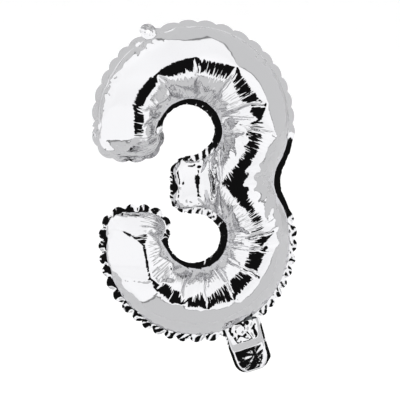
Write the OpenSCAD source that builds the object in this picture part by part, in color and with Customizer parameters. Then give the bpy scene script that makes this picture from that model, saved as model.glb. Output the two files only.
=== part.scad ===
// Foil number balloon, the digit three, blown up and sealed.
// Two foil films are welded together round the outline of the digit. The weld leaves
// a flat flange all the way round, with a hanging tab at the upper left. A flat neck
// leaves the lower right of the digit, and its tail is folded up behind it. A two-film
// valve runs from the neck into the body and is pressed shut by the air inside.
//
// X runs to the right of the digit, Y away from its front, Z up the digit.
// The seam lies in the plane Y = 0, and the origin is the centre of the hanging hole.

/* [Upper lobe] */
// Radius of the outer seam round the upper lobe
upper_r = 95.5; // [90:0.5:102]
// Radius of the seam round the upper counter
upper_hole_r = 31; // [26:0.5:34]
// Length of the rounded end of the upper hook
upper_end = 27; // [22:0.5:30]

/* [Lower lobe] */
// Radius of the outer seam round the lower lobe
lower_r = 93; // [88:0.5:99]
// Radius of the seam round the lower counter
lower_hole_r = 31; // [26:0.5:34]
// Length of the rounded end of the lower hook
lower_end = 27.5; // [22:0.5:30]

/* [Middle] */
// Radius of the concave seam at the waist
waist_r = 50; // [44:1:60]
// Half height of the middle arm, seam to middle line
arm_half = 23; // [20:0.5:25]
// Radius of the corners of the middle arm's tip
arm_corner_r = 10; // [7:0.5:13]

/* [Depth] */
// Height of each panel over the seam along the two hooks
tube_h = 30; // [24:0.5:36]
// Height of each panel over the seam where the hooks and the arm meet
middle_h = 33; // [26:0.5:40]

/* [Film and seam] */
// Thickness of one foil film
film = 0.4; // [0.3:0.05:0.6]
// Width of the welded flange outside the seam
flange_w = 6; // [4:0.5:7]
// How far a scallop stands out from the flange
scallop_h = 1.5; // [0.5:0.1:2.5]
// Scallops along each lobe's outer seam
scallops = 22; // [16:1:30]

/* [Hanging tab] */
// Direction of the tab from the upper lobe's centre, in degrees
tab_angle = 117; // [100:1:130]
// Outer radius of the tab
tab_r = 8; // [7:0.5:10]
// Radius of the hanging hole
tab_hole_r = 2; // [1.5:0.1:3]

/* [Neck and tail] */
// Direction of the neck's root from the lower lobe's centre, in degrees
neck_at = -63; // [-75:1:-55]
// Direction in which the neck runs, in degrees
neck_angle = -73; // [-78:1:-66]
// Width of the neck
neck_w = 40; // [36:1:44]
// Length of the neck from its root to its fold
neck_len = 41; // [36:1:50]
// Width of the tail behind the neck
tail_w = 36; // [30:1:36]
// Length of the tail from the fold to its open end
tail_len = 30; // [22:1:34]
// Angle at which the tail stands off the neck
tail_open = 10; // [4:1:14]
// Width of the weld along each side of the neck and tail
side_weld = 4; // [3:0.5:6]
// Gap left at each crease, where the film bends
crease_gap = 1; // [0.9:0.1:1.4]

/* [Valve] */
// Width of the valve's films
valve_w = 24; // [18:1:30]
// Gap between the valve's end and the seam round the lower counter
valve_end_gap = 8; // [5:1:20]
// Thickness of one valve film
valve_film = 0.25; // [0.2:0.05:0.3]

/* [Hidden] */

silver = [0.80, 0.81, 0.82];
milky = [0.90, 0.92, 0.94];
blue = [0.45, 0.62, 0.80];

// Centres of the lobes and counters in the digit's own plane, before the hanging hole is
// moved to the origin
upper_c = [-5.5, 77];
lower_c = [-1.5, -43];
upper_hole_c = [-9, 70];
lower_hole_c = [-3, -38];
arm_mid = 15;
arm_tip = -26.5;

// Where the hooks' straight ends and the middle arm begin, in degrees round each centre
hook_a = 183;
hole_a = 180;
hole_out = -35;

function polar(c, r, a) = c + r * [cos(a), sin(a)];
function angle_of(v) = atan2(v[1], v[0]);
function mix(a, b, t) = a + (b - a) * t;
function smooth(t) = t * t * (3 - 2 * t);
function backwards(v) = [for (i = [len(v) - 1 : -1 : 0]) v[i]];

// The waist is a circle outside the digit that touches both lobes
lobe_gap = upper_c - lower_c;
lobe_d = norm(lobe_gap);
lobe_dir = lobe_gap / lobe_d;
waist_along = (pow(lower_r + waist_r, 2) - pow(upper_r + waist_r, 2) + pow(lobe_d, 2)) / (2 * lobe_d);
waist_out = sqrt(pow(lower_r + waist_r, 2) - pow(waist_along, 2));
waist_c = lower_c + lobe_dir * waist_along + [lobe_dir[1], -lobe_dir[0]] * waist_out;
upper_touch = angle_of(waist_c - upper_c);
lower_touch = angle_of(waist_c - lower_c);

// Points on a circle from angle a to angle b, both ends included
function arc(c, r, a, b, n) = [for (i = [0 : n - 1]) polar(c, r, mix(a, b, i / (n - 1)))];
// The same with both ends left out
function inner_arc(c, r, a, b, n) = [for (i = [1 : n]) polar(c, r, mix(a, b, i / (n + 1)))];
// The same as arc, with a scalloped edge that stands out h
function scalloped_arc(c, r, a, b, n, h) = [for (i = [0 : n - 1]) let (t = i / (n - 1))
    polar(c, r + h * abs(sin(180 * scallops * t)), mix(a, b, t))];

// The rounded end of a hook is half an ellipse, d outside the seam. It is centred between the
// outer and the inner seam. side is -1 for the outer half and 1 for the inner half.
function seam_end(top, side) = side < 0
    ? (top ? polar(upper_c, upper_r, hook_a) : polar(lower_c, lower_r, -hook_a))
    : (top ? polar(upper_hole_c, upper_hole_r, hole_a) : polar(lower_hole_c, lower_hole_r, -hole_a));
function end_point(top, side, a, d) = let (
        o = seam_end(top, -1), i = seam_end(top, 1), across = (i - o) / norm(i - o),
        along = (top ? 1 : -1) * [across[1], -across[0]])
    (o + i) / 2 + across * side * (norm(i - o) / 2 + d) * sin(a)
        + along * ((top ? upper_end : lower_end) + d) * cos(a);
function end_line(top, side, d, n) = [for (i = [1 : n]) end_point(top, side, 90 * i / (n + 1), d)];
function tip(top, d) = end_point(top, 1, 0, d);

// The outer seam from the tip of the upper hook to the tip of the lower hook, d outside it.
// n holds the number of points along each end, each lobe and the waist.
function outer_line(d, n, h) = concat(
    end_line(true, -1, d, n[0]),
    scalloped_arc(upper_c, upper_r + d, hook_a, upper_touch, n[1], h),
    inner_arc(waist_c, waist_r - d, 180 + upper_touch, 180 + lower_touch, n[2]),
    scalloped_arc(lower_c, lower_r + d, lower_touch, -hook_a, n[1], h),
    backwards(end_line(false, -1, d, n[0])));

// The seam round the middle arm, as n evenly spaced points
function lengths(v, i = 0, sum = 0) =
    i == len(v) - 1 ? [sum] : concat([sum], lengths(v, i + 1, sum + norm(v[i + 1] - v[i])));
function at_length(v, l, want, i = 0) = i >= len(v) - 2 || l[i + 1] >= want
    ? mix(v[i], v[i + 1], min(1, (want - l[i]) / (l[i + 1] - l[i])))
    : at_length(v, l, want, i + 1);
function inner_even(v, n) = let (l = lengths(v))
    [for (i = [1 : n]) at_length(v, l, l[len(l) - 1] * i / (n + 1))];
function arm_line(d, n) = let (
        top = [arm_tip + arm_corner_r, arm_mid + arm_half - arm_corner_r],
        low = [arm_tip + arm_corner_r, arm_mid - arm_half + arm_corner_r],
        r = arm_corner_r + d)
    inner_even(concat(
        arc(upper_hole_c, upper_hole_r - d, hole_out, -100, 16),
        arc(top, r, 100, 180, 8),
        arc(low, r, 180, 260, 8),
        arc(lower_hole_c, lower_hole_r - d, 100, -hole_out, 16)), n);
function inner_line(d, n) = concat(
    end_line(true, 1, d, n[0]),
    arc(upper_hole_c, upper_hole_r - d, hole_a, hole_out, n[1]),
    arm_line(d, n[2]),
    arc(lower_hole_c, lower_hole_r - d, -hole_out, -hole_a, n[1]),
    backwards(end_line(false, 1, d, n[0])));

// The whole seam as one closed outline, d outside it
function outline(d, n_out, n_in, h) = concat([tip(true, d)], outer_line(d, n_out, h),
    [tip(false, d)], backwards(inner_line(d, n_in)));

// A panel is a row of ribs from the outer to the inner seam, each half an ellipse
rib_n = [6, 28, 20];
ribs = 2 * rib_n[0] + 2 * rib_n[1] + rib_n[2];
mid_from = rib_n[0] + rib_n[1];
mid_to = mid_from + rib_n[2];
rib_steps = 12;
end_h = [for (i = [1 : rib_n[0]]) sin(90 * i / (rib_n[0] + 1))];
middle_h_at = [for (i = [1 : rib_n[2]]) smooth(1 - abs(2 * i / (rib_n[2] + 1) - 1))];

// The middle arm is a narrower tube than the hooks, so it holds the panel down between the
// counters. This is its height at a point p, d outside the seam.
arm_fullness = 0.97;
function part_way(x, a, b) = min(1, max(0, (x - a) / (b - a)));
function arm_height(p, d) = let (
        top_y = mix(arm_mid + arm_half, upper_hole_c[1] - upper_hole_r, part_way(p[0], arm_tip, upper_hole_c[0])),
        low_y = mix(arm_mid - arm_half, lower_hole_c[1] + lower_hole_r, part_way(p[0], arm_tip, lower_hole_c[0])),
        top = max(0.1, 0.7 + (p[0] < upper_hole_c[0] ? top_y - p[1] : norm(p - upper_hole_c) - upper_hole_r)),
        low = max(0.1, 0.7 + (p[0] < lower_hole_c[0] ? p[1] - low_y : norm(p - lower_hole_c) - lower_hole_r)),
        half = (top + low) / 2,
        end = part_way(p[0] - arm_tip + 0.7, 0, half),
        open = 1 + smooth(part_way(p[0], arm_tip + 15, arm_tip + 60)))
    arm_fullness * open * half * sqrt(1 - pow((top - low) / (top + low), 2)) * sqrt(1 - pow(1 - end, 2)) + d;
function rib_heights(d) = concat(
    [for (e = end_h) (tube_h + d) * e],
    [for (i = [1 : rib_n[1]]) tube_h + d],
    [for (m = middle_h_at) mix(tube_h, middle_h, m) + d],
    [for (i = [1 : rib_n[1]]) tube_h + d],
    [for (e = backwards(end_h)) (tube_h + d) * e]);
function skin(side, d) = let (
        o = outer_line(d, rib_n, 0), n = inner_line(d, rib_n), h = rib_heights(d), y0 = side * film)
    concat([[tip(true, d)[0], y0, tip(true, d)[1]]],
        [for (i = [0 : ribs - 1]) for (j = [0 : rib_steps])
            let (a = 180 * j / rib_steps, p = mix(o[i], n[i], (1 - cos(a)) / 2), up = h[i] * sin(a))
            [p[0], y0 + side * (i < mid_from || i >= mid_to ? up : min(up, arm_height(p, d))), p[1]]],
        [[tip(false, d)[0], y0, tip(false, d)[1]]]);

// Triangles of a skin whose first point has the number k. other turns them the other way.
function turn(f, other) = other ? [f[0], f[2], f[1]] : f;
function skin_faces(k, other) = let (w = rib_steps + 1, last = k + 1 + ribs * w) concat(
    [for (j = [0 : rib_steps - 1]) turn([k, k + 2 + j, k + 1 + j], other)],
    [for (i = [0 : ribs - 2]) for (j = [0 : rib_steps - 1]) for (half = [0, 1])
        let (a = k + 1 + i * w + j)
        turn(half == 0 ? [a, a + w + 1, a + w] : [a, a + 1, a + w + 1], other)],
    [for (j = [0 : rib_steps - 1]) turn([last - w + j, last - w + j + 1, last], other)]);
// The two skins are joined by a rim all along the seam
function rim_loop(k) = let (w = rib_steps + 1) concat(
    [k], [for (i = [0 : ribs - 1]) k + 1 + i * w], [k + 1 + ribs * w],
    [for (i = [ribs - 1 : -1 : 0]) k + 1 + i * w + rib_steps]);
function rim_faces(a, b, other) = let (n = len(a)) [for (i = [0 : n - 1]) for (half = [0, 1])
    let (j = (i + 1) % n) turn(half == 0 ? [a[i], a[j], b[j]] : [a[i], b[j], b[i]], other)];

module panel(side) {
    outside = skin(side, 0);
    inside = skin(side, -film);
    n = len(outside);
    other = side > 0;
    polyhedron(points = concat(outside, inside), faces = concat(
        skin_faces(0, other), skin_faces(n, !other), rim_faces(rim_loop(0), rim_loop(n), other)));
}

// Everything is drawn in the digit's own plane and moved so that the hanging hole is the origin
tab_c = polar(upper_c, upper_r + flange_w, tab_angle);
module digit_plane() translate([-tab_c[0], 0, -tab_c[1]]) children();
// A flat shape drawn in the X-Z plane becomes a plate from y = low to y = high
module plate(low, high) translate([0, high, 0]) rotate([90, 0, 0]) linear_extrude(high - low) children();

module front_panel() color(silver) digit_plane() panel(-1);
module back_panel() color(silver) digit_plane() panel(1);

// The neck's own frame: the neck's root lies along X and the neck runs down
neck_c = polar(lower_c, lower_r + flange_w + 1, neck_at);
module neck_frame() translate([neck_c[0], 0, neck_c[1]]) rotate([0, -(neck_angle + 90), 0]) children();
module neck_plane() translate(neck_c) rotate(neck_angle + 90) children();

// The flange: both films welded flat together. Over the valve the films pass outside it.
flange_out = [10, 4 * scallops + 1, 16];
flange_in = [10, 36, 48];
slot_w = valve_w + 0.6;
cover_w = slot_w + 4;
root_flare = 5;
module seam_flange() color(silver) digit_plane() {
    plate(-film, film) difference() {
        union() {
            polygon(outline(flange_w, flange_out, flange_in, scallop_h));
            translate(tab_c) circle(r = tab_r);
            neck_plane() polygon([[-neck_w / 2, 0], [neck_w / 2, 0],
                [neck_w / 2 + root_flare, flange_w + 6], [-neck_w / 2 - root_flare, flange_w + 3]]);
        }
        polygon(outline(-film, rib_n, rib_n, 0));
        translate(tab_c) circle(r = tab_hole_r);
        neck_plane() translate([-slot_w / 2, -1]) square([slot_w, flange_w + 8]);
        neck_plane() translate([-neck_w / 2 - 0.6, -4]) square([neck_w + 1.2, 4]);
    }
    for (low = [-2 * film, film]) plate(low, low + film) difference() {
        neck_plane() translate([-cover_w / 2, 0]) square([cover_w, flange_w + 5]);
        polygon(outline(0.1, rib_n, rib_n, 0));
    }
}

// The neck is two films welded along both sides. It narrows a little towards its fold, where
// its corners are rounded.
fold_r = 9;
foil_gap = film / 2;
neck_top = -crease_gap;
function neck_side_x(z) = mix(tail_w, neck_w, (z + neck_len) / (neck_top + neck_len)) / 2;
module neck_outline() polygon(concat(
    [[neck_w / 2, neck_top], [-neck_w / 2, neck_top]],
    arc([-tail_w / 2 + fold_r, -neck_len + fold_r], fold_r, 180, 270, 10),
    arc([tail_w / 2 - fold_r, -neck_len + fold_r], fold_r, 270, 360, 10)));
module neck_front_film() color(silver) digit_plane() neck_frame() plate(-foil_gap - film, -foil_gap) neck_outline();
module neck_back_film() color(silver) digit_plane() neck_frame() plate(foil_gap, foil_gap + film) neck_outline();
module neck_side_welds() color(silver) digit_plane() neck_frame() plate(-foil_gap, foil_gap) for (s = [-1, 1])
    polygon([[s * neck_w / 2, neck_top], [s * tail_w / 2, -neck_len + fold_r],
        [s * (tail_w / 2 - side_weld), -neck_len + fold_r], [s * (neck_w / 2 - side_weld), neck_top]]);

// The tail is drawn straight below the neck, then turned up behind it about the fold
fold_y = 4 * film;
fold_z = -neck_len - crease_gap / 2;
module tail_frame() digit_plane() neck_frame() translate([0, fold_y, fold_z])
    rotate([180 - tail_open, 0, 0]) translate([0, -fold_y, -crease_gap / 2]) children();
module tail_outline() polygon(concat(
    [[-tail_w / 2, -tail_len], [tail_w / 2, -tail_len]],
    arc([tail_w / 2 - fold_r, -fold_r], fold_r, 0, 90, 10),
    arc([-tail_w / 2 + fold_r, -fold_r], fold_r, 90, 180, 10)));
module tail_front_film() color(silver) tail_frame() plate(-foil_gap - film, -foil_gap) tail_outline();
module tail_back_film() color(silver) tail_frame() plate(foil_gap, foil_gap + film) tail_outline();
module tail_side_welds() color(silver) tail_frame() plate(-foil_gap, foil_gap) for (s = [-1, 1])
    translate([s > 0 ? tail_w / 2 - side_weld : -tail_w / 2, -tail_len]) square([side_weld, tail_len - fold_r]);

// The valve starts at the neck's root, passes through the flange and stands up in the body.
// Inside the body its back film is a flap, free to lift off the front film.
valve_in = flange_w + 5;
valve_len = lower_r - lower_hole_r - valve_end_gap;
flap_gap = 0.6;
module valve_strip(low, high) translate([-valve_w / 2, low]) square([valve_w, high - low]);
module valve_frame() color(milky) digit_plane() neck_frame() children();
module valve_front_film() valve_frame() plate(-film, -film + valve_film) valve_strip(0, valve_in + valve_len);
module valve_back_film() valve_frame() plate(film - valve_film, film) valve_strip(0, valve_in);
module valve_flap() valve_frame() plate(film - valve_film, film) valve_strip(valve_in + flap_gap, valve_in + valve_len);
// A printed patch keeps the valve's films from being welded to each other under the seam
patch_t = 0.1;
module valve_release_patch() color(blue) digit_plane() neck_frame()
    plate(-film + valve_film, -film + valve_film + patch_t)
    translate([-valve_w / 2 + side_weld, 1]) square([valve_w - 2 * side_weld, valve_in - 2]);

front_panel();
back_panel();
seam_flange();
neck_front_film();
neck_back_film();
neck_side_welds();
tail_front_film();
tail_back_film();
tail_side_welds();
valve_front_film();
valve_back_film();
valve_flap();
valve_release_patch();
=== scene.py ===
"""Foil number balloon, the digit three: two metallised films welded round their edge and blown up.

The films are cut as a flat digit, welded into a closed bag and inflated with Blender's Cloth, which
makes the ridges, creases and puckers of a real one. The seam is then laid on its true line. The
flange, the neck and its folded tail are shaped as creased film, and the valve lies inside.
X runs to the right of the digit, Y away from its front, Z up. Lengths are in metres.
"""
import math

import bpy
import numpy as np
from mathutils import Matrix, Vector
from mathutils.geometry import delaunay_2d_cdt


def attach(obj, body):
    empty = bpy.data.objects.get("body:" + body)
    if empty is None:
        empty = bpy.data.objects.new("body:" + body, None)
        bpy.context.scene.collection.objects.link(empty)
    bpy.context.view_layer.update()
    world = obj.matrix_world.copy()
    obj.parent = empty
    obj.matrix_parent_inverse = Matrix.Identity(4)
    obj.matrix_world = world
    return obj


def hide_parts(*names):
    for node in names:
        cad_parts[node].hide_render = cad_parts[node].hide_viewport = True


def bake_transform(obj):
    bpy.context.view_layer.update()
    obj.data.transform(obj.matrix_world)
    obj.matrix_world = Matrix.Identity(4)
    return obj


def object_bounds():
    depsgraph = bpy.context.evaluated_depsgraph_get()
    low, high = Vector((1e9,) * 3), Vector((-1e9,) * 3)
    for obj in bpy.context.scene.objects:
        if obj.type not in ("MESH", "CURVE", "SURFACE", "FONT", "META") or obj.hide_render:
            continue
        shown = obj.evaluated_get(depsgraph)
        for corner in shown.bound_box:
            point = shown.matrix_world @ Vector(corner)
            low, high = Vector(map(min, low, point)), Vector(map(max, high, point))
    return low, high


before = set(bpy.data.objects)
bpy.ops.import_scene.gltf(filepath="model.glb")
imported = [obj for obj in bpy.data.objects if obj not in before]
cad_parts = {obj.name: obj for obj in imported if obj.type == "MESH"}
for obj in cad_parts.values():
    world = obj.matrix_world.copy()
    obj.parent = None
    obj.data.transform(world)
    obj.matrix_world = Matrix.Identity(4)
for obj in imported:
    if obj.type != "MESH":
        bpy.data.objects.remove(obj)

cad_box = [list(corner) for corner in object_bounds()]


# ---------------------------------------------------------------------------------------------
# The digit's outline. Both films are stamped from metallised sheet and welded round one line. The
# flat cut is wider than the blown up digit: inflating draws its outer edge in by a fifth and takes
# its hooks further round. Lengths are in millimetres in the digit's plane, zero between the lobes.

def on_circle(centre, radius, degrees):
    turn = math.radians(degrees)
    return np.array(centre) + radius * np.array([math.cos(turn), math.sin(turn)])


def arc(centre, radius, start, stop, count=60):
    return [on_circle(centre, radius, start + (stop - start) * i / count) for i in range(count + 1)]


def opening_arc(centre, radius, start, stop, widen, count=60):
    """An arc that opens by widen millimetres over its far half."""
    found = []
    for i in range(count + 1):
        opened = radius + widen * max(0.0, 2 * i / count - 1) ** 2
        found.append(on_circle(centre, opened, start + (stop - start) * i / count))
    return found


def waist_between(upper, upper_r, lower, lower_r, waist_r):
    """Centre of the circle that touches both lobes from outside, and where it touches them."""
    gap = np.subtract(upper, lower)
    apart = np.linalg.norm(gap)
    along = gap / apart
    rise = ((lower_r + waist_r) ** 2 - (upper_r + waist_r) ** 2 + apart ** 2) / (2 * apart)
    out = math.sqrt((lower_r + waist_r) ** 2 - rise ** 2)
    centre = np.array(lower) + along * rise + np.array([along[1], -along[0]]) * out
    touch = [math.degrees(math.atan2(*(centre - np.array(c))[::-1])) for c in (upper, lower)]
    return centre, touch[0], touch[1]


def digit_outline(size):
    """The outline as eight runs of points: upper lobe, waist, lower lobe, lower hook's end, lower
    counter, middle arm, upper counter, upper hook's end."""
    waist, up_touch, low_touch = waist_between(size["upper"], size["upper_r"], size["lower"],
                                               size["lower_r"], size["waist_r"])
    up_a, low_a = size["upper_hook"], size["lower_hook"]
    up_hole_a, low_hole_a = size["upper_hook_in"], size["lower_hook_in"]

    def hook_end(outer, inner, length, side, count=60):
        """Half of a superellipse: a blunt 2 is round, 4 is nearly square."""
        middle, across = (outer + inner) / 2, (inner - outer) / np.linalg.norm(inner - outer)
        half, down = np.linalg.norm(inner - outer) / 2, side * np.array([across[1], -across[0]])
        power = 2 / size["blunt"]
        turns = np.linspace(0, math.pi, count + 1)
        return [middle - across * half * math.copysign(abs(math.cos(a)) ** power, math.cos(a))
                + down * length * abs(math.sin(a)) ** power for a in turns]

    tip, mid, half, corner = size["arm_tip"], size["arm_mid"], size["arm_half"], size["arm_corner"]
    up_end = hook_end(on_circle(size["upper"], size["upper_r"], up_a),
                      on_circle(size["upper_hole"], size["upper_hole_r"] + size["widen"], up_hole_a),
                      size["upper_end"], 1)
    low_end = hook_end(on_circle(size["lower"], size["lower_r"], -low_a),
                       on_circle(size["lower_hole"], size["lower_hole_r"] + size["widen"], -low_hole_a),
                       size["lower_end"], -1)
    arm = (arc((tip + corner, mid - half + corner), corner, 260, 180, 16)
           + arc((tip + corner, mid + half - corner), corner, 180, 100, 16))
    return [arc(size["upper"], size["upper_r"], up_a, up_touch),
            arc(waist, size["waist_r"], 180 + up_touch, 180 + low_touch, 20),
            arc(size["lower"], size["lower_r"], low_touch, -low_a),
            low_end,
            opening_arc(size["lower_hole"], size["lower_hole_r"], 100, -low_hole_a, size["widen"])[::-1],
            arm,
            opening_arc(size["upper_hole"], size["upper_hole_r"], -100, up_hole_a, size["widen"]),
            up_end[::-1]]


blown = {"upper": (-5.5, 77.0), "upper_r": 95.5, "upper_hole": (-9.0, 70.0), "upper_hole_r": 31.0,
         "lower": (-1.5, -43.0), "lower_r": 93.0, "lower_hole": (-3.0, -38.0), "lower_hole_r": 31.0,
         "waist_r": 50.0, "upper_hook": 183.0, "lower_hook": 183.0, "upper_hook_in": 180.0,
         "lower_hook_in": 180.0, "upper_end": 27.0, "lower_end": 27.5, "blunt": 2.0, "widen": 0.0,
         "arm_tip": -26.5, "arm_mid": 15.0, "arm_half": 23.0, "arm_corner": 10.0}
flat = {"upper": (-5.5, 88.0), "upper_r": 120.0, "upper_hole": (-9.0, 78.5), "upper_hole_r": 37.0,
        "lower": (-1.5, -54.0), "lower_r": 117.5, "lower_hole": (-3.0, -46.5), "lower_hole_r": 37.0,
        "waist_r": 140.0, "upper_hook": 142.0, "lower_hook": 142.0, "upper_hook_in": 138.0,
        "lower_hook_in": 138.0, "upper_end": 32.0, "lower_end": 32.0, "blunt": 3.2, "widen": 13.0,
        "arm_tip": -27.0, "arm_mid": 16.0, "arm_half": 26.0, "arm_corner": 12.0}
flange_w = 7.0      # the welded band outside the seam, before it gathers
edge = 2.6          # the side of one triangle of film

flat_runs, blown_runs = digit_outline(flat), digit_outline(blown)


def along_runs(runs, places):
    """Points at places along the runs: 2.25 is a quarter of the way along the third run."""
    found = []
    for place in places:
        run = np.array(runs[int(place) % len(runs)])
        steps = np.r_[0, np.cumsum(np.linalg.norm(np.diff(run, axis=0), axis=1))]
        want = (place - int(place)) * steps[-1]
        found.append([np.interp(want, steps, run[:, 0]), np.interp(want, steps, run[:, 1])])
    return np.array(found)


fine = np.concatenate([k + np.linspace(0, 1, 120, endpoint=False) for k in range(len(flat_runs))])
fine_at = along_runs(flat_runs, fine)
for _ in range(12):
    fine_at = 0.5 * fine_at + 0.25 * (np.roll(fine_at, 1, 0) + np.roll(fine_at, -1, 0))
closed = np.vstack([fine_at, fine_at[:1]])
travelled = np.r_[0, np.cumsum(np.linalg.norm(np.diff(closed, axis=0), axis=1))]
seam_n = int(round(travelled[-1] / edge))
seam_at = np.linspace(0, travelled[-1], seam_n, endpoint=False)
seam_flat = np.stack([np.interp(seam_at, travelled, closed[:, axis]) for axis in (0, 1)], axis=1)
seam_place = np.interp(seam_at, travelled, np.r_[fine, len(flat_runs)])
following = np.roll(seam_flat, -1, 0)
if np.sum(seam_flat[:, 0] * following[:, 1] - following[:, 0] * seam_flat[:, 1]) < 0:
    seam_flat, seam_place = seam_flat[::-1].copy(), seam_place[::-1].copy()
seam_blown = along_runs(blown_runs, seam_place % len(blown_runs))
ahead = np.roll(seam_flat, -1, 0) - np.roll(seam_flat, 1, 0)
ahead /= np.linalg.norm(ahead, axis=1)[:, None]
outward = np.c_[ahead[:, 1], -ahead[:, 0]]


# ---------------------------------------------------------------------------------------------
# The films as cloth. Each film is a sheet of small triangles; both share the seam, and the flange
# stands outside it in three rows. The films hardly stretch, so the outer seam has to pucker when
# air is pressed in.

def inside(points, loop):
    """Which points lie within the closed loop."""
    x, y = points[:, 0], points[:, 1]
    hit = np.zeros(len(points), bool)
    for (x0, y0), (x1, y1) in zip(loop, np.roll(loop, 1, 0)):
        if y0 != y1:
            hit ^= ((y0 > y) != (y1 > y)) & (x < (x1 - x0) * (y - y0) / (y1 - y0) + x0)
    return hit


def to_loop(points, loop):
    """How far each point is from the nearest point of the loop."""
    found = np.empty(len(points))
    for k in range(0, len(points), 2000):
        found[k:k + 2000] = np.linalg.norm(points[k:k + 2000, None] - loop[None], axis=2).min(1)
    return found


rng = np.random.default_rng(3)
low, high = seam_flat.min(0), seam_flat.max(0)
row_share = 0.866       # rows of even triangles lie this part of a side apart
grid_rows = []
for r in range(int((high[1] - low[1]) / (edge * row_share)) + 2):
    row_u = np.arange(low[0] + (r % 2) * edge / 2, high[0], edge)
    grid_rows.append(np.stack([row_u, np.full(len(row_u), low[1] + r * edge * row_share)], axis=1))
grid = np.vstack(grid_rows)
grid = grid + rng.normal(0, 0.12 * edge, grid.shape)
grid = grid[inside(grid, seam_flat)]
grid = grid[to_loop(grid, seam_flat) > 0.62 * edge]
points = np.vstack([seam_flat, grid])
corners = [Vector(point) for point in points.tolist()]
seam_lines = [(i, (i + 1) % seam_n) for i in range(seam_n)]
_, _, film_faces, sources, _, _ = delaunay_2d_cdt(corners, seam_lines, [], 1, 1e-6)
came_from = [source[0] for source in sources]
film_flat = points[came_from]
film_n = len(film_flat)
new_number = {old: new for new, old in enumerate(came_from)}
seam = np.array([new_number[i] for i in range(seam_n)])
tris = np.array([list(face) for face in film_faces])
side_a = film_flat[tris[:, 1]] - film_flat[tris[:, 0]]
side_b = film_flat[tris[:, 2]] - film_flat[tris[:, 0]]
flip = side_a[:, 0] * side_b[:, 1] - side_a[:, 1] * side_b[:, 0] < 0
tris[flip] = tris[flip][:, ::-1]

# Points are numbered front film first, then the back film's own points, then the flange's rows.
# back_of gives the back film's point for each point of the front film; on the seam it is the same.
on_seam = np.zeros(film_n, bool)
on_seam[seam] = True
back_of = np.where(on_seam, np.arange(film_n), 0)
back_of[~on_seam] = film_n + np.arange((~on_seam).sum())
bag_n = film_n + int((~on_seam).sum())
flange_rows = 3
flange_flat = np.vstack([seam_flat + outward * flange_w * r / flange_rows for r in range(1, flange_rows + 1)])
all_n = bag_n + len(flange_flat)

rise = 6.0 * np.sqrt(np.clip(to_loop(film_flat, seam_flat) / 45.0, 0, 1))
start = np.zeros((all_n, 3))
start[:film_n, [0, 2]] = film_flat
start[:film_n, 1] = -np.where(on_seam, 0, rise)
start[back_of[~on_seam]] = np.c_[film_flat[~on_seam][:, 0], rise[~on_seam], film_flat[~on_seam][:, 1]]
start[bag_n:, [0, 2]] = flange_flat
start[bag_n:, 1] = rng.normal(0, 0.25, len(flange_flat))
start[:bag_n, 1] += rng.normal(0, 0.05, bag_n)


def crease_seed(where):
    """A slight fold along each line where the film will gather, spaced round each counter."""
    found = np.zeros(len(where))
    # for each counter: its centre, the angle from fold to fold, the first fold, and the angle that
    # keeps its place while the folds close up towards it
    for about, step, first, square in ((flat["upper_hole"], 30.0, 0.0, -35.0),
                                       (flat["lower_hole"], 22.5, 5.0, 35.0)):
        rel = where - np.array(about)
        far = np.linalg.norm(rel, axis=1)
        turn = np.degrees(np.arctan2(rel[:, 1], rel[:, 0]))
        turn = square + (turn - square) / 0.87
        off = np.abs((turn - first + step / 2) % step - step / 2) * np.radians(1) * far
        mine = where[:, 1] > flat["arm_mid"] if about[1] > 0 else where[:, 1] <= flat["arm_mid"]
        found += mine * 1.3 * np.exp(-(off / 3.0) ** 2) * np.clip((95 - far) / 20, 0, 1)
    return found


seed = crease_seed(film_flat) * ~on_seam
start[:film_n, 1] -= seed
start[back_of, 1] += seed

front_tris = tris
back_tris = back_of[tris][:, ::-1]
rings = [seam] + [bag_n + r * seam_n + np.arange(seam_n) for r in range(flange_rows)]
flange_tris = []
for inner, outer in zip(rings, rings[1:]):
    for i in range(seam_n):
        j = (i + 1) % seam_n
        flange_tris += [(inner[i], outer[i], outer[j]), (inner[i], outer[j], inner[j])]
flange_tris = np.array(flange_tris)

cloth_scale = 0.01      # millimetres to the cloth's units: ten times its size suits the solver


def inflate(frames=44, pressure=12.0):
    """The points of the bag after it is blown up, in millimetres."""
    mesh = bpy.data.meshes.new("bag")
    bag_tris = np.vstack([front_tris, back_tris, flange_tris])
    mesh.from_pydata((start * cloth_scale).tolist(), [], bag_tris.tolist())
    bag = bpy.data.objects.new("bag", mesh)
    bpy.context.scene.collection.objects.link(bag)
    bag.vertex_groups.new(name="pressed").add(list(range(bag_n)), 1.0, "REPLACE")
    cloth = bag.modifiers.new("film", "CLOTH")
    film = cloth.settings
    film.quality = 8
    film.mass = 0.05
    film.air_damping = 2.0
    film.tension_stiffness = film.compression_stiffness = 80
    film.shear_stiffness = 30
    film.bending_stiffness = 0.15
    film.tension_damping = film.compression_damping = film.shear_damping = 10
    film.bending_damping = 0.5
    film.use_pressure = True
    film.uniform_pressure_force = pressure
    film.vertex_group_pressure = "pressed"
    film.effector_weights.gravity = 0
    cloth.collision_settings.use_collision = False
    cloth.point_cache.frame_start, cloth.point_cache.frame_end = 1, frames
    for number in range(1, frames + 1):
        bpy.context.scene.frame_set(number)
    shaped = bag.evaluated_get(bpy.context.evaluated_depsgraph_get()).to_mesh()
    found = np.empty(len(shaped.vertices) * 3)
    shaped.vertices.foreach_get("co", found)
    bpy.data.objects.remove(bag)
    bpy.context.scene.frame_set(1)
    return found.reshape(-1, 3) / cloth_scale


shape = inflate()

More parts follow.
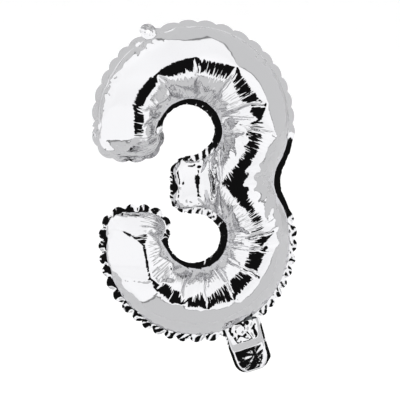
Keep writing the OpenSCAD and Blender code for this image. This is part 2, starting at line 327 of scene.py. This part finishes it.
# The seam is laid on its true line. The move is smooth along the seam, so the puckers stay, and
# each film follows it from seam to seam.
near = np.arange(-30, 31)
smooth_over = 16.0
weight = np.exp(-0.5 * (near * edge / smooth_over) ** 2)
weight /= weight.sum()
shape[:, [0, 2]] += (seam_blown - shape[seam][:, [0, 2]]).mean(0)
away = seam_blown - shape[seam][:, [0, 2]]
move = np.zeros_like(away)
for places, share in zip(near, weight):
    move += share * np.roll(away, -places, 0)
shift = np.zeros((film_n, 2))
links = np.vstack([tris[:, [0, 1]], tris[:, [1, 2]], tris[:, [2, 0]]])
links = np.vstack([links, links[:, ::-1]])
degree = np.bincount(links[:, 0], minlength=film_n)[:, None]
settle_rounds = 500
for _ in range(settle_rounds):
    shift[seam] = move
    total = np.stack([np.bincount(links[:, 0], shift[links[:, 1], axis], film_n) for axis in (0, 1)], axis=1)
    shift = total / degree
shift[seam] = move
shape[:film_n, [0, 2]] += shift
shape[back_of[~on_seam], 0] += shift[~on_seam][:, 0]
shape[back_of[~on_seam], 2] += shift[~on_seam][:, 1]

# Where the waist pulls on the film, the ridge bends sharply towards the arm.
u, v = shape[:bag_n, 0].copy(), shape[:bag_n, 2].copy()
ridge_at, pull_reach, pulled_in = 48.0, 34.0, 8.0
pull = np.clip(1 - np.abs(v - blown["arm_mid"]) / pull_reach, 0, 1)
pull = pull * np.clip(1 - ((u - ridge_at) / pull_reach) ** 2, 0, 1)
shape[:bag_n, 0] -= pulled_in * pull
before = shape[:bag_n, 1].copy()
shape[:bag_n, 1] *= 1 - 0.10 * pull

# The arm is puffed at its tip and pinched where it meets the body. The upper hook stays full to
# near its end. Both hooks end in a ridge between two flat faces, which keep part of the film's
# own depth. Each list of depths is given along the arm, or up the hook.
pinch = np.interp(u, (-26, -23, -20, -14, -8, -3, 4, 10, 16, 22),
                  (1.25, 1.18, 0.94, 0.78, 0.65, 0.55, 0.87, 1.45, 1.2, 1.0))
shape[:bag_n, 1] *= 1 + (pinch - 1) * np.clip((25.0 - np.abs(v - blown["arm_mid"])) / 7.0, 0, 1)
fuller = np.interp(v, (44, 50, 56, 62, 68, 74, 82, 90), (1.0, 1.2, 1.38, 1.32, 1.22, 1.1, 1.03, 1.0))
shape[:bag_n, 1] *= 1 + (fuller - 1) * np.clip((-34.0 - u) / 6.0, 0, 1) * (v > 40)
deep = np.abs(shape[:bag_n, 1])
crest = np.interp(v, (-78, -64, -50, -38, -26, -14), (27.0, 21.5, 20.5, 20.5, 20.0, 19.5))
ridge_u = -56.0 - (v + 55.0) * 0.18
lower_faces = crest - 0.53 * np.maximum(ridge_u - 0.3 - u, 0) - 0.5 * np.maximum(u - ridge_u - 0.3, 0)
least = 0.4 * deep
on_lower = (u < -30) & (v < -12) & (v > -78)
eased = np.where(on_lower, np.minimum(deep * 1.08, np.maximum(lower_faces, least)), deep)
crest = np.interp(v, (44, 50, 56, 62, 68, 74, 82, 90, 100, 114),
                  (6.0, 10.0, 15.0, 18.4, 19.8, 20.4, 21.2, 22.6, 25.5, 32.0))
upper_faces = crest - 0.52 * np.maximum(-67.0 - u, 0) - 0.45 * np.maximum(u + 57.5, 0)
on_upper = (u < -34) & (v > 40) & (v < 114)
eased = np.where(on_upper, np.minimum(eased, np.maximum(upper_faces, least)), eased)
change = np.sign(shape[:bag_n, 1]) * eased - before
for film in (np.arange(film_n), back_of):
    moved = change[film]
    moved[on_seam] = 0
    shape[film, 1] = before[film] + moved

# The frame's zero is the hole that the balloon hangs by, in the tab on the upper lobe.
hole_turn, hole_out = 117.0, 6.0
hole = on_circle(blown["upper"], blown["upper_r"] + hole_out, hole_turn)
metre = 0.001       # one millimetre, in metres
shape[:, 0] -= hole[0]
shape[:, 2] -= hole[1]
shape *= metre


# Metallised film: nylon and polyethylene with aluminium laid on from vapour. It gives the eye a
# mirror that is a touch grey, with needle-like wrinkles where it is gathered towards the counters.

def linear(code):
    """An sRGB hex colour as the linear values that a shader takes."""
    parts = [int(code[i:i + 2], 16) / 255 for i in (1, 3, 5)]
    return tuple(p / 12.92 if p <= 0.04045 else ((p + 0.055) / 1.055) ** 2.4 for p in parts) + (1.0,)


def node(tree, kind, links=(), **settings):
    """A node with its settings. links pairs an input with an output or a value."""
    made = tree.nodes.new(kind)
    for name, value in settings.items():
        setattr(made, name, value)
    for socket, source in links:
        target = made.inputs[socket]
        if isinstance(source, bpy.types.NodeSocket):
            tree.links.new(source, target)
        else:
            target.default_value = source
    return made


def material(name):
    """A new material, its nodes and its shader."""
    made = bpy.data.materials.new(name)
    made.use_nodes = True
    return made, made.node_tree, made.node_tree.nodes["Principled BSDF"]


foil, tree, shader = material("metallised_film")
shader.inputs["Base Color"].default_value = linear("#CECED0")
shader.inputs["Metallic"].default_value = 1.0
shader.inputs["Roughness"].default_value = 0.05
across = node(tree, "ShaderNodeUVMap", uv_map="along")
# the wrinkles are about 2.4 mm apart along the tube and 26 mm long across it
needle_place = node(tree, "ShaderNodeMapping", [("Vector", across.outputs[0]),
                                                ("Scale", (1 / 2.4, 1 / 26.0, 1.0))])
needles = node(tree, "ShaderNodeTexNoise", [("Vector", needle_place.outputs[0]), ("Scale", 1.0),
                                            ("Detail", 1.5), ("Roughness", 0.5)], noise_dimensions="2D")
gather = node(tree, "ShaderNodeAttribute", attribute_name="gather")
lift = node(tree, "ShaderNodeMath", [(0, needles.outputs[0]), (1, gather.outputs["Fac"])],
            operation="MULTIPLY")
bump = node(tree, "ShaderNodeBump", [("Strength", 1.0), ("Distance", 0.0008), ("Height", lift.outputs[0])])
tree.links.new(bump.outputs[0], shader.inputs["Normal"])

# The same film where it is welded or crushed, on the flange and the neck: still a mirror, but
# broken up by small dents.
creased, tree, shader = material("creased_film")
shader.inputs["Base Color"].default_value = linear("#CECED0")
shader.inputs["Metallic"].default_value = 1.0
shader.inputs["Roughness"].default_value = 0.06
at_rest = node(tree, "ShaderNodeTexCoord").outputs["Object"]
# dents about 4 mm across, and ripples of half that
dents = node(tree, "ShaderNodeTexVoronoi", [("Vector", at_rest), ("Scale", 260.0), ("Randomness", 1.0)])
ripples = node(tree, "ShaderNodeTexNoise", [("Vector", at_rest), ("Scale", 420.0), ("Detail", 2.0)])
mixed = node(tree, "ShaderNodeMath", [(0, dents.outputs["Distance"]), (1, ripples.outputs["Fac"])],
             operation="ADD")
bump = node(tree, "ShaderNodeBump", [("Strength", 1.0), ("Distance", 0.0001), ("Height", mixed.outputs[0])])
tree.links.new(bump.outputs[0], shader.inputs["Normal"])


def surface(name, triangles, uv, gathering):
    """An object made of the shaped points that these triangles use."""
    used, renumbered = np.unique(triangles, return_inverse=True)
    mesh = bpy.data.meshes.new(name)
    mesh.from_pydata(shape[used].tolist(), [], renumbered.reshape(triangles.shape).tolist())
    mesh.polygons.foreach_set("use_smooth", np.ones(len(triangles), bool))
    along = mesh.uv_layers.new(name="along")
    along.data.foreach_set("uv", uv.reshape(-1).astype(np.float32))
    layer = mesh.attributes.new("gather", "FLOAT", "POINT")
    layer.data.foreach_set("value", gathering[used].astype(np.float32))
    made = bpy.data.objects.new(name, mesh)
    bpy.context.scene.collection.objects.link(made)
    return made


def tube_uv(triangles, flat_points):
    """How far along the tube each corner lies, turned about the nearer counter, and how far from
    that counter's seam, both in millimetres."""
    corners = flat_points[triangles]
    in_upper = corners[:, :, 1].mean(1) > flat["arm_mid"]
    found = np.empty(corners.shape)
    tube_middle = 62.0
    for upper, counter, opens_at in ((True, "upper_hole", 225), (False, "lower_hole", 135)):
        rel = corners[in_upper == upper] - np.array(flat[counter])
        turn = np.mod(np.arctan2(rel[..., 1], rel[..., 0]) - math.radians(opens_at), 2 * math.pi)
        from_seam = np.linalg.norm(rel, axis=2) - flat["upper_hole_r"]
        found[in_upper == upper] = np.stack([turn * tube_middle, from_seam], axis=2)
    return found


# The film is gathered round the counters, and smooth on the arm and beyond the ridge of the tube.
from_upper, from_lower = [np.linalg.norm(film_flat - np.array(flat[counter]), axis=1)
                          for counter in ("upper_hole", "lower_hole")]
from_hole = np.minimum(from_upper, from_lower) - flat["upper_hole_r"]
gathered = np.interp(from_hole, (0, 12, 18, 38, 56), (0.7, 0.8, 1.0, 1.0, 0.0))
on_arm = np.abs(film_flat[:, 1] - flat["arm_mid"]) < 27
gathered *= 1 - np.clip((14.0 - film_flat[:, 0]) / 10.0, 0, 1) * on_arm
both = np.zeros(all_n)
both[:film_n] = gathered
both[back_of] = gathered

uv = tube_uv(tris, film_flat)
front = surface("front_film", front_tris, uv, both)
back = surface("back_film", back_tris, uv[:, ::-1], both)
for piece, stands_for in ((front, "front_panel"), (back, "back_panel")):
    piece.data.materials.append(foil)
    smooth = piece.modifiers.new("smooth", "SUBSURF")
    smooth.levels = smooth.render_levels = 1
    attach(piece, "envelope")
    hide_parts(stands_for)


# ---------------------------------------------------------------------------------------------
# The welded flange and its hanging tab: both films fused flat outside the seam and cut by one
# die. Round the outside the seam is longer than the blown up edge, so the flange stands in
# scallops, small and crushed round the lower lobe. In the counters and the waist it is tight.

def waved(steps):
    """A triangle wave: 0 to 1 and back for each step."""
    return np.abs(2 * (steps - np.floor(steps + 0.5)))


def spread(values, width):
    """Values round the ring, smoothed over a width given in points."""
    reach = np.arange(-3 * width, 3 * width + 1)
    share = np.exp(-0.5 * (reach / width) ** 2)
    return sum(w * np.roll(values, -k, 0) for k, w in zip(reach, share / share.sum()))


# base follows the seam, puckers and all; even is the same line without them
ring = shape[seam] / metre
looped = np.vstack([ring, ring[:1]])
gone = np.r_[0, np.cumsum(np.linalg.norm(np.diff(looped[:, [0, 2]], axis=0), axis=1))]
count = 1300
step = gone[-1] / count
at = np.arange(count) * step
base = np.stack([np.interp(at, gone, looped[:, k]) for k in range(3)], axis=1)
last_seam_point = np.clip(np.searchsorted(gone, at, side="right") - 1, 0, seam_n - 1)
run_of = seam_place[last_seam_point].astype(int) % len(blown_runs)
even = spread(base, 8)
waist_run, counter_runs = 1, (4, 6)
run_of[(even[:, 0] > 126.0) & (even[:, 2] > -185.0) & (even[:, 2] < -100.0)] = waist_run
ahead = np.roll(even, -1, 0) - np.roll(even, 1, 0)
ahead /= np.linalg.norm(ahead[:, [0, 2]], axis=1)[:, None]
out_x, out_z = ahead[:, 2], -ahead[:, 0]
# For each run of the outline: how far the band leans back, in degrees, its width, how far its
# scallops stand out and how often they come, how much each is cupped, and how much it is crushed.
#                 upper waist lower hook counter arm counter hook
kinds = {"lean": (46.0, 0.0, 13.0, 12.0, 0.0, 10.0, 0.0, 40.0),
         "width": (7.0, 5.6, 4.0, 4.0, 6.8, 4.0, 6.8, 6.6),
         "scallop": (4.2, 0.0, 4.6, 4.6, 0.0, 1.6, 0.0, 3.4),
         "pitch": (17.0, 17.0, 13.5, 12.5, 12.0, 9.0, 12.0, 17.0),
         "cup": (0.9, 0.1, 2.2, 2.2, 0.2, 1.4, 0.2, 1.0),
         "crush": (0.05, 0.04, 0.62, 0.62, 0.22, 0.6, 0.22, 0.06)}
kinds = {label: spread(np.array(values)[run_of], 5) for label, values in kinds.items()}
rng = np.random.default_rng(11)
drift = spread(rng.normal(0, 1, count), 24) * 5.0
turn = np.cumsum(step / kinds["pitch"]) + drift * 0.35
lobe = np.abs(np.sin(math.pi * turn)) ** 0.7
ragged = spread(rng.normal(0, 1, count), 1) * 0.35 * (kinds["scallop"] < 1)
in_counter = np.isin(run_of, counter_runs)
tight = np.where(in_counter, 0.45 + 0.55 * np.clip((-out_x + 0.5) / 0.9, 0, 1), 1.0)
width = (kinds["width"] + kinds["scallop"] * lobe) * spread(tight, 6) + ragged
from_tab = np.hypot(even[:, 0] + 6 * out_x, even[:, 2] + 6 * out_z)
tab_lean = math.radians(44)
leftward = np.clip(-out_x, 0, 1) * (kinds["lean"] > 30)
lean = np.radians(kinds["lean"] + 12.0 * leftward)
width = width * (1 + 0.22 * leftward)
cup = kinds["cup"] * (1 - np.exp(-(from_tab / 11.0) ** 2))
width = np.where(from_tab < 3.0, 3.7, width)
# the neck leaves the lower lobe on the flange's outer edge, leaning 17 degrees
neck_lean = math.radians(17)
neck_u, neck_v = on_circle(blown["lower"], blown["lower_r"] + flange_w, -63.0) - hole
neck_centre = np.array([neck_u, 0, neck_v])
neck_wide = np.array([math.cos(neck_lean), 0, math.sin(neck_lean)])
neck_up = np.array([-math.sin(neck_lean), 0, math.cos(neck_lean)])
at_neck = np.exp(-(np.linalg.norm(even - neck_centre, axis=1) / 17.0) ** 6)
width = width * (1 - at_neck) + 5.2 * at_neck
crush, cup, lean = kinds["crush"] * (1 - at_neck), cup * (1 - at_neck), lean * (1 - at_neck)
facets = [(rng.uniform(6.0, 13.0), rng.uniform(-1.6, 1.6), rng.uniform(0, 1)) for _ in range(5)]
# rows of points from just inside the seam, under the films, to the cut edge
band_rows = []
for t in (-0.16, 0.0, 0.12, 0.26, 0.42, 0.6, 0.8, 1.0):
    reach = width * t
    lifted = np.maximum(reach, 0)
    past_seam = max(t, 0)
    evened = min(1, past_seam * 4)
    start_from = even * evened + base * (1 - evened)
    bend_y = lifted * np.sin(lean) - cup * past_seam ** 1.4 * (lobe - 0.35)
    bend_y = bend_y + crush * past_seam ** 0.6 * sum(waved((at + slant * lifted) / long + phase) - 0.5
                                                    for long, slant, phase in facets)
    flat_reach = np.where(reach > 0, reach * np.cos(lean), reach)
    band_rows.append(np.stack([start_from[:, 0] + out_x * flat_reach, start_from[:, 1] + bend_y,
                               start_from[:, 2] + out_z * flat_reach], axis=1))


def ring_faces(first, around, rings):
    """Four-sided faces between rings of points that follow on from each other."""
    found = []
    for r in range(rings - 1):
        this, after = first + r * around, first + (r + 1) * around
        found += [(this + i, this + (i + 1) % around, after + (i + 1) % around, after + i)
                  for i in range(around)]
    return found


# the tab is a round ear with a 4 mm hole, dished a little and leaning back with the band
tab_turns, tab_radii, tab_back = 56, (2.0, 2.4, 3.4, 4.8, 6.2, 7.4, 8.0), 2.5
angle = np.arange(tab_turns) * 2 * math.pi / tab_turns
tab_out = on_circle((0, 0), 1.0, hole_turn)
towards_rim = np.cos(angle) * tab_out[0] + np.sin(angle) * tab_out[1]
tab_points = []
for radius in tab_radii:
    dished = 0.3 * np.cos(2 * angle + 1) * (radius / tab_radii[-1]) ** 2
    tab_y = tab_back + radius * towards_rim * math.tan(tab_lean) - dished
    tab_points.append(np.stack([radius * np.cos(angle), tab_y, radius * np.sin(angle)], axis=1))
flange_faces = (ring_faces(0, count, len(band_rows))
                + ring_faces(count * len(band_rows), tab_turns, len(tab_radii)))


def piece_of(name, points, faces, finish):
    """A mesh piece from points in millimetres."""
    mesh = bpy.data.meshes.new(name)
    mesh.from_pydata((np.asarray(points) * metre).tolist(), [], faces)
    mesh.polygons.foreach_set("use_smooth", [True] * len(faces))
    mesh.materials.append(finish)
    made = bpy.data.objects.new(name, mesh)
    bpy.context.scene.collection.objects.link(made)
    return made


flange = piece_of("welded_flange", np.vstack(band_rows + tab_points), flange_faces, creased)
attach(flange, "envelope")
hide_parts("seam_flange")


# ---------------------------------------------------------------------------------------------
# The inflation neck: the same two films run on as a flat tube, crushed into pleats where the body
# draws them in, with a weld down each side. It is folded sharply near its end.

def neck_place(across, up, deep):
    """Points given across the neck, up it and back from it, in the balloon's frame."""
    return (neck_centre[None] + across.reshape(-1, 1) * neck_wide[None] + up.reshape(-1, 1) * neck_up[None]
            + deep.reshape(-1, 1) * np.array([[0.0, 1.0, 0.0]]))


def grid_faces(columns, rows):
    """Four-sided faces between rows of points."""
    return [(r * columns + c, r * columns + c + 1, (r + 1) * columns + c + 1, (r + 1) * columns + c)
            for r in range(rows - 1) for c in range(columns - 1)]


fold_up, fold_deep, lowest_up = -41.5, 1.6, -43.6
corner_r = 13.0


def half_width(up):
    """The neck is 40 mm wide at its root, 36 at the fold, and its folded corners are rounded."""
    wide = 20.0 + up * 2.0 / 41.0
    over = np.clip(corner_r - (up - lowest_up), 0, corner_r)
    return wide - corner_r + np.sqrt(np.maximum(corner_r ** 2 - over ** 2, 0.0))


def fans(across, up, apexes, seed):
    """Pleats that spread from points, like a star of creases. Each sector has its own slope."""
    pick = np.random.default_rng(seed)
    height = np.zeros(across.shape)
    for apex_x, apex_z, strength, sectors in apexes:
        slopes = pick.uniform(-1, 1, sectors)
        slopes[::2] = np.abs(slopes[::2])
        slopes[1::2] = -np.abs(slopes[1::2])
        rel_x, rel_z = across - apex_x, up - apex_z
        spin = (np.arctan2(rel_z, rel_x) / (2 * math.pi) + 1) % 1 * sectors
        low = np.floor(spin).astype(int) % sectors
        mix = spin - np.floor(spin)
        far = np.hypot(rel_x, rel_z)
        slope = slopes[low] * (1 - mix) + slopes[(low + 1) % sectors] * mix
        height += strength * far * slope / (1 + (far / 14.0) ** 2)
    return height


def neck_film(side, seed):
    """One film of the neck, puffed at its root, pleated above the flat band and starred below."""
    columns, rows = 61, 71
    c, r = np.meshgrid(np.linspace(-1, 1, columns), np.linspace(0, 1, rows))
    top = 9.0 - (c * 20) ** 2 / 186.0
    up = top + (fold_up - top) * r
    across = c * half_width(up)
    weld = np.clip((half_width(up) - np.abs(across)) / 4.0, 0, 1)
    puffed = np.sqrt(np.clip(1 - np.abs(across / (half_width(up) - 3.0)) ** 3, 0, 1))
    full = np.interp(up, (-41.5, -30.0, -18.5, -10.5, 0.0, 9.0), (1.1, 1.5, 2.0, 7.0, 5.0, 4.6))
    upper = np.clip((up + 12.0) / 4.0, 0, 1)
    lower = np.clip((-19.0 - up) / 3.0, 0, 1) * np.clip((up - fold_up) / 1.5, 0, 1)
    pleat_tips = ((-9.0, -13.0, 0.27, 13), (8.0, -15.0, 0.27, 13), (0.0, 6.0, 0.14, 9))
    star_tips = ((4.0, -28.0, 0.04, 17), (-8.0, -35.0, 0.02, 11), (9.0, -37.0, 0.02, 11))
    pleats = upper * fans(across, up, pleat_tips, seed)
    star = lower * fans(across, up, star_tips, seed + 1)
    pick = np.random.default_rng(seed + 2)
    turns, lengths, phases = pick.uniform(0, 3.14, 5), pick.uniform(5, 12, 5), pick.uniform(0, 1, 5)
    fine = sum(waved((across * math.cos(turn) + up * math.sin(turn)) / long + phase) - 0.5
               for turn, long, phase in zip(turns, lengths, phases))
    edge_wave = 0.7 * (1 - weld) * np.sin(up / 4.2 + c) * np.clip((up + 24) / 8.0, 0, 1)
    deep = 0.16 + puffed * (full + pleats * 0.9 + 0.35 * fine * upper) + star * weld
    deep = np.maximum(deep, 0.12)
    return neck_place(across, up, side * deep + edge_wave), grid_faces(columns, rows)


for name, side, seed, stands_for in (("neck_film_front", -1, 21, ("neck_front_film", "neck_side_welds")),
                                     ("neck_film_back", 1, 34, ("neck_back_film",))):
    points, faces = neck_film(side, seed)
    piece = piece_of(name, points, faces, creased)
    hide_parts(*stands_for)
    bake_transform(piece)


# The tail: the neck's end, folded up behind it. The front film passes round the outside of the
# fold and the back film lies inside it, welded to it down both sides.

tail_length = 29.0


def tail_film(radius, seed):
    """One film of the tail: round the fold at this radius, then up behind the neck."""
    columns, bend_rows, rows = 49, 12, 34
    c = np.linspace(-1, 1, columns)
    lean = math.radians(10)
    bend = np.linspace(0, math.pi - lean, bend_rows)
    far = np.linspace(0, 1, rows)[1:] * tail_length
    line_up = np.r_[fold_up - radius * np.sin(bend),
                    fold_up - radius * math.sin(bend[-1]) + far * math.cos(lean)]
    line_deep = np.r_[fold_deep - radius * np.cos(bend),
                      fold_deep - radius * math.cos(bend[-1]) + far * math.sin(lean)]
    travel = np.r_[np.zeros(bend_rows), far]
    up, deep, travel = [np.repeat(line[:, None], columns, axis=1) for line in (line_up, line_deep, travel)]
    wide = np.where(travel > 0, np.minimum(half_width(up) + travel * 0.15, 18.0), half_width(up))
    across = c[None] * wide + np.clip(travel / 8.0, 0, 1) * 2.2
    grown = np.clip(travel / 5.0, 0, 1)
    crumple_tips = ((-4.0, -30.0, 0.10, 13), (9.0, -20.0, 0.10, 11), (-8.0, -17.0, 0.08, 9))
    crumple = grown * fans(across, up, crumple_tips, seed)
    inner = np.clip(1 - np.abs(c[None]) ** 6, 0, 1)
    puff = (0.5 if radius > 1.6 else -0.3) * grown * (1 - c[None] ** 2)
    return neck_place(across, up, deep + crumple * inner + puff), grid_faces(columns, bend_rows + rows - 1)


for name, radius, stands_for in (("tail_film_outer", 2.35, ("tail_back_film", "tail_side_welds")),
                                 ("tail_film_inner", 0.85, ("tail_front_film",))):
    points, faces = tail_film(radius, 5)
    piece = piece_of(name, points, faces, creased)
    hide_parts(*stands_for)
    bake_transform(piece)


# ---------------------------------------------------------------------------------------------
# The valve inside the neck: two strips of clear polyethylene, and a printed patch that keeps them
# from being welded together under the seam. The back strip's free end is the flap.

# Clear polyethylene, blown as a tube and slit: soft, slightly cloudy and less shiny than the foil.
clear, tree, shader = material("polyethylene_film")
shader.inputs["Roughness"].default_value = 0.22
shader.inputs["IOR"].default_value = 1.51
shader.inputs["Alpha"].default_value = 0.75
at_rest = node(tree, "ShaderNodeTexCoord").outputs["Object"]
cloudy = node(tree, "ShaderNodeTexNoise", [("Vector", at_rest), ("Scale", 160.0), ("Detail", 3.0)])
tone = node(tree, "ShaderNodeMix", [("Factor", cloudy.outputs["Fac"]), ("A", linear("#E6EAEC")),
                                    ("B", linear("#CDD3D6"))], data_type="RGBA")
tree.links.new(tone.outputs[2], shader.inputs["Base Color"])
bump = node(tree, "ShaderNodeBump", [("Distance", 0.00012), ("Height", cloudy.outputs["Fac"])])
tree.links.new(bump.outputs[0], shader.inputs["Normal"])

# Heat-proof printing ink: a thin matt blue coat with a fine speckle.
ink, tree, shader = material("release_ink")
shader.inputs["Roughness"].default_value = 0.5
at_rest = node(tree, "ShaderNodeTexCoord").outputs["Object"]
# printing speckle, about 0.6 mm
speckle = node(tree, "ShaderNodeTexNoise", [("Vector", at_rest), ("Scale", 1600.0), ("Detail", 2.0)])
tone = node(tree, "ShaderNodeMix", [("Factor", speckle.outputs["Fac"]), ("A", linear("#2F66A8")),
                                    ("B", linear("#4C86C6"))], data_type="RGBA")
tree.links.new(tone.outputs[2], shader.inputs["Base Color"])
bump = node(tree, "ShaderNodeBump", [("Distance", 0.00003), ("Height", speckle.outputs["Fac"])])
tree.links.new(bump.outputs[0], shader.inputs["Normal"])


def strip(half, low, high, deep, swell, seed):
    """A narrow film with straight edges, slightly rippled and bowed where it lies in the body."""
    columns, rows = 25, max(9, int((high - low) / 1.2))
    c, r = np.meshgrid(np.linspace(-1, 1, columns), np.linspace(0, 1, rows))
    up = low + (high - low) * r
    phase = np.random.default_rng(seed).uniform(0, 6, 3)
    ripple = np.sin(up / 3.1 + phase[0] + c) + 0.6 * np.sin(up / 1.7 + 2 * c + phase[1])
    ripple = ripple + 0.5 * np.sin(c * 7 + phase[2])
    bowed = swell * np.clip((up - 11.0) / 12.0, 0, 1) * (1 - c ** 2)
    return neck_place(c * half, up, deep + 0.03 * ripple + bowed), grid_faces(columns, rows)


# each strip's half width, its two ends up the neck, how deep it lies, how far it bows, its seed
strips = {"valve_strip_front": (12.0, 0.3, 64.6, -0.30, -0.8, 1),
          "valve_strip_back": (12.0, 0.3, 10.8, 0.30, 0.0, 2),
          "valve_flap_film": (12.0, 11.2, 64.6, 0.30, -0.6, 3),
          "release_patch": (8.0, 1.1, 9.9, -0.16, 0.0, 4)}
for name, stands_for, body, finish, label in (
        ("valve_strip_front", "valve_front_film", "envelope", clear, "valve_film"),
        ("valve_strip_back", "valve_back_film", "envelope", clear, "valve_film"),
        ("valve_flap_film", "valve_flap", "flap", clear, "valve_film"),
        ("release_patch", "valve_release_patch", "envelope", ink, "release_ink")):
    points, faces = strip(*strips[name])
    piece = piece_of(name, points, faces, finish)
    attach(piece, body)
    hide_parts(stands_for)


# ---------------------------------------------------------------------------------------------
# The stage: a sheet of white paper swept up behind, inside a white tent with a dark opening for
# the camera. Past the tent's edges the room is plain and a little darker.

scene = bpy.context.scene
scene.view_settings.view_transform = "Standard"
world = bpy.data.worlds.new("room")
scene.world = world
world.use_nodes = True
tree = world.node_tree
where = node(tree, "ShaderNodeTexCoord").outputs["Generated"]

# aim points from the balloon to the camera
look_az, look_el = math.radians(-8), math.radians(4)
aim = Vector((math.sin(look_az) * math.cos(look_el), -math.cos(look_az) * math.cos(look_el),
              math.sin(look_el)))
right = Vector((math.cos(look_az), math.sin(look_az), 0))
above = right.cross(-aim)


def toward(axis):
    """How far a direction in the room points along this axis."""
    dot = node(tree, "ShaderNodeVectorMath", [(0, where), (1, axis)], operation="DOT_PRODUCT")
    return dot.outputs["Value"]


def calc(kind, *values):
    """The result of one sum on numbers and other nodes' results."""
    return node(tree, "ShaderNodeMath", list(enumerate(values)), operation=kind).outputs[0]


def between(value, low, high):
    """0 below low and 1 above high."""
    limits = [(0, value), (1, low), (2, high), (3, 0.0), (4, 1.0)]
    return node(tree, "ShaderNodeMapRange", limits).outputs[0]


ahead_part, side_part, up_part = toward(aim), toward(right), toward(above)
round_angle = calc("ARCTAN2", side_part, ahead_part)
up_angle = calc("ARCSINE", up_part)
# the tent's four edges, in degrees round and up from the camera: right, left, top and bottom
edges = ((round_angle, 72, 1.0), (round_angle, 90, -1.0), (up_angle, 70, 1.0), (up_angle, 50, -1.0))
walls = [calc("SUBTRACT", math.radians(bound), calc("MULTIPLY", value, sign)) for value, bound, sign in edges]
nearest = calc("MINIMUM", calc("MINIMUM", walls[0], walls[1]), calc("MINIMUM", walls[2], walls[3]))
tent = between(nearest, 0.0, math.radians(1.5))
folds = node(tree, "ShaderNodeTexNoise", [("Vector", where), ("Scale", 1.6), ("Detail", 1.0)]).outputs["Fac"]
tent = calc("MULTIPLY", tent, calc("ADD", 0.72, calc("MULTIPLY", folds, 0.5)))
hem = calc("ABSOLUTE", nearest)
hem = between(hem, math.radians(0.8), math.radians(1.6))
opening = between(calc("ARCCOSINE", ahead_part), math.radians(33), math.radians(35))
# the room is at 0.9, the tent adds about 0.6, and its opening and its hem are dark
level = calc("MULTIPLY", calc("ADD", 0.9, calc("MULTIPLY", tent, 0.62)),
             calc("ADD", 0.006, calc("MULTIPLY", opening, 0.988)))
level = calc("MULTIPLY", level, calc("ADD", 0.35, calc("MULTIPLY", hem, 0.65)))
# what stands behind the balloon is plain white
seen = node(tree, "ShaderNodeLightPath").outputs["Is Camera Ray"]
level = node(tree, "ShaderNodeMix", [("Factor", seen), ("A", level), ("B", 1.0)]).outputs[0]
tree.links.new(level, tree.nodes["Background"].inputs["Strength"])
tree.nodes["Background"].inputs["Color"].default_value = linear("#FFFFFF")

# the paper lies flat from just in front of the balloon, then sweeps up 1.6 m behind it
flat_to, sweep_r, paper_top = 1.6, 0.5, 2.6
swept = [(flat_to + sweep_r * math.sin(a), sweep_r - sweep_r * math.cos(a))
         for a in np.linspace(0.1, math.pi / 2, 14)]
sweep = [(-0.05, 0.0), (flat_to, 0.0)] + swept + [(flat_to + sweep_r, paper_top)]
floor_z = cad_box[0][2] - 0.22
ends = [(x, y, floor_z + up) for x in (-5.0, 5.0) for y, up in sweep]
sweep_n = len(sweep)
strips_of_paper = [(i, i + 1, sweep_n + i + 1, sweep_n + i) for i in range(sweep_n - 1)]
floor_mesh = bpy.data.meshes.new("paper_sweep")
floor_mesh.from_pydata(ends, [], strips_of_paper)
floor_mesh.polygons.foreach_set("use_smooth", [True] * len(strips_of_paper))
floor = bpy.data.objects.new("paper_sweep", floor_mesh)
scene.collection.objects.link(floor)
# Uncoated paper, white and matt, its fibres about 1 mm long. To the camera it has a little light of
# its own, so that its shading stays faint; the foil mirrors it without that.
paper, tree, shader = material("white_paper")
shader.inputs["Base Color"].default_value = linear("#F1F1F1")
shader.inputs["Roughness"].default_value = 0.9
shader.inputs["Emission Color"].default_value = linear("#FFFFFF")
seen = node(tree, "ShaderNodeLightPath").outputs["Is Camera Ray"]
lit = node(tree, "ShaderNodeMath", [(0, seen), (1, 0.24)], operation="MULTIPLY")
tree.links.new(lit.outputs[0], shader.inputs["Emission Strength"])
at_rest = node(tree, "ShaderNodeTexCoord").outputs["Object"]
fibre = node(tree, "ShaderNodeTexNoise", [("Vector", at_rest), ("Scale", 900.0)])
bump = node(tree, "ShaderNodeBump", [("Distance", 0.0001), ("Height", fibre.outputs["Fac"])])
tree.links.new(bump.outputs[0], shader.inputs["Normal"])
floor.data.materials.append(paper)

# the camera looks at the zero of the digit's own plane
camera = bpy.data.objects.new("camera", bpy.data.cameras.new("camera"))
scene.collection.objects.link(camera)
scene.camera = camera
camera.data.sensor_width = 36
camera.data.lens = 131
camera_far = 1.456
centre = Vector((-hole[0] * metre, 0, -hole[1] * metre))
camera.location = centre + aim * camera_far
camera.rotation_euler = (centre - camera.location).to_track_quat("-Z", "Y").to_euler()
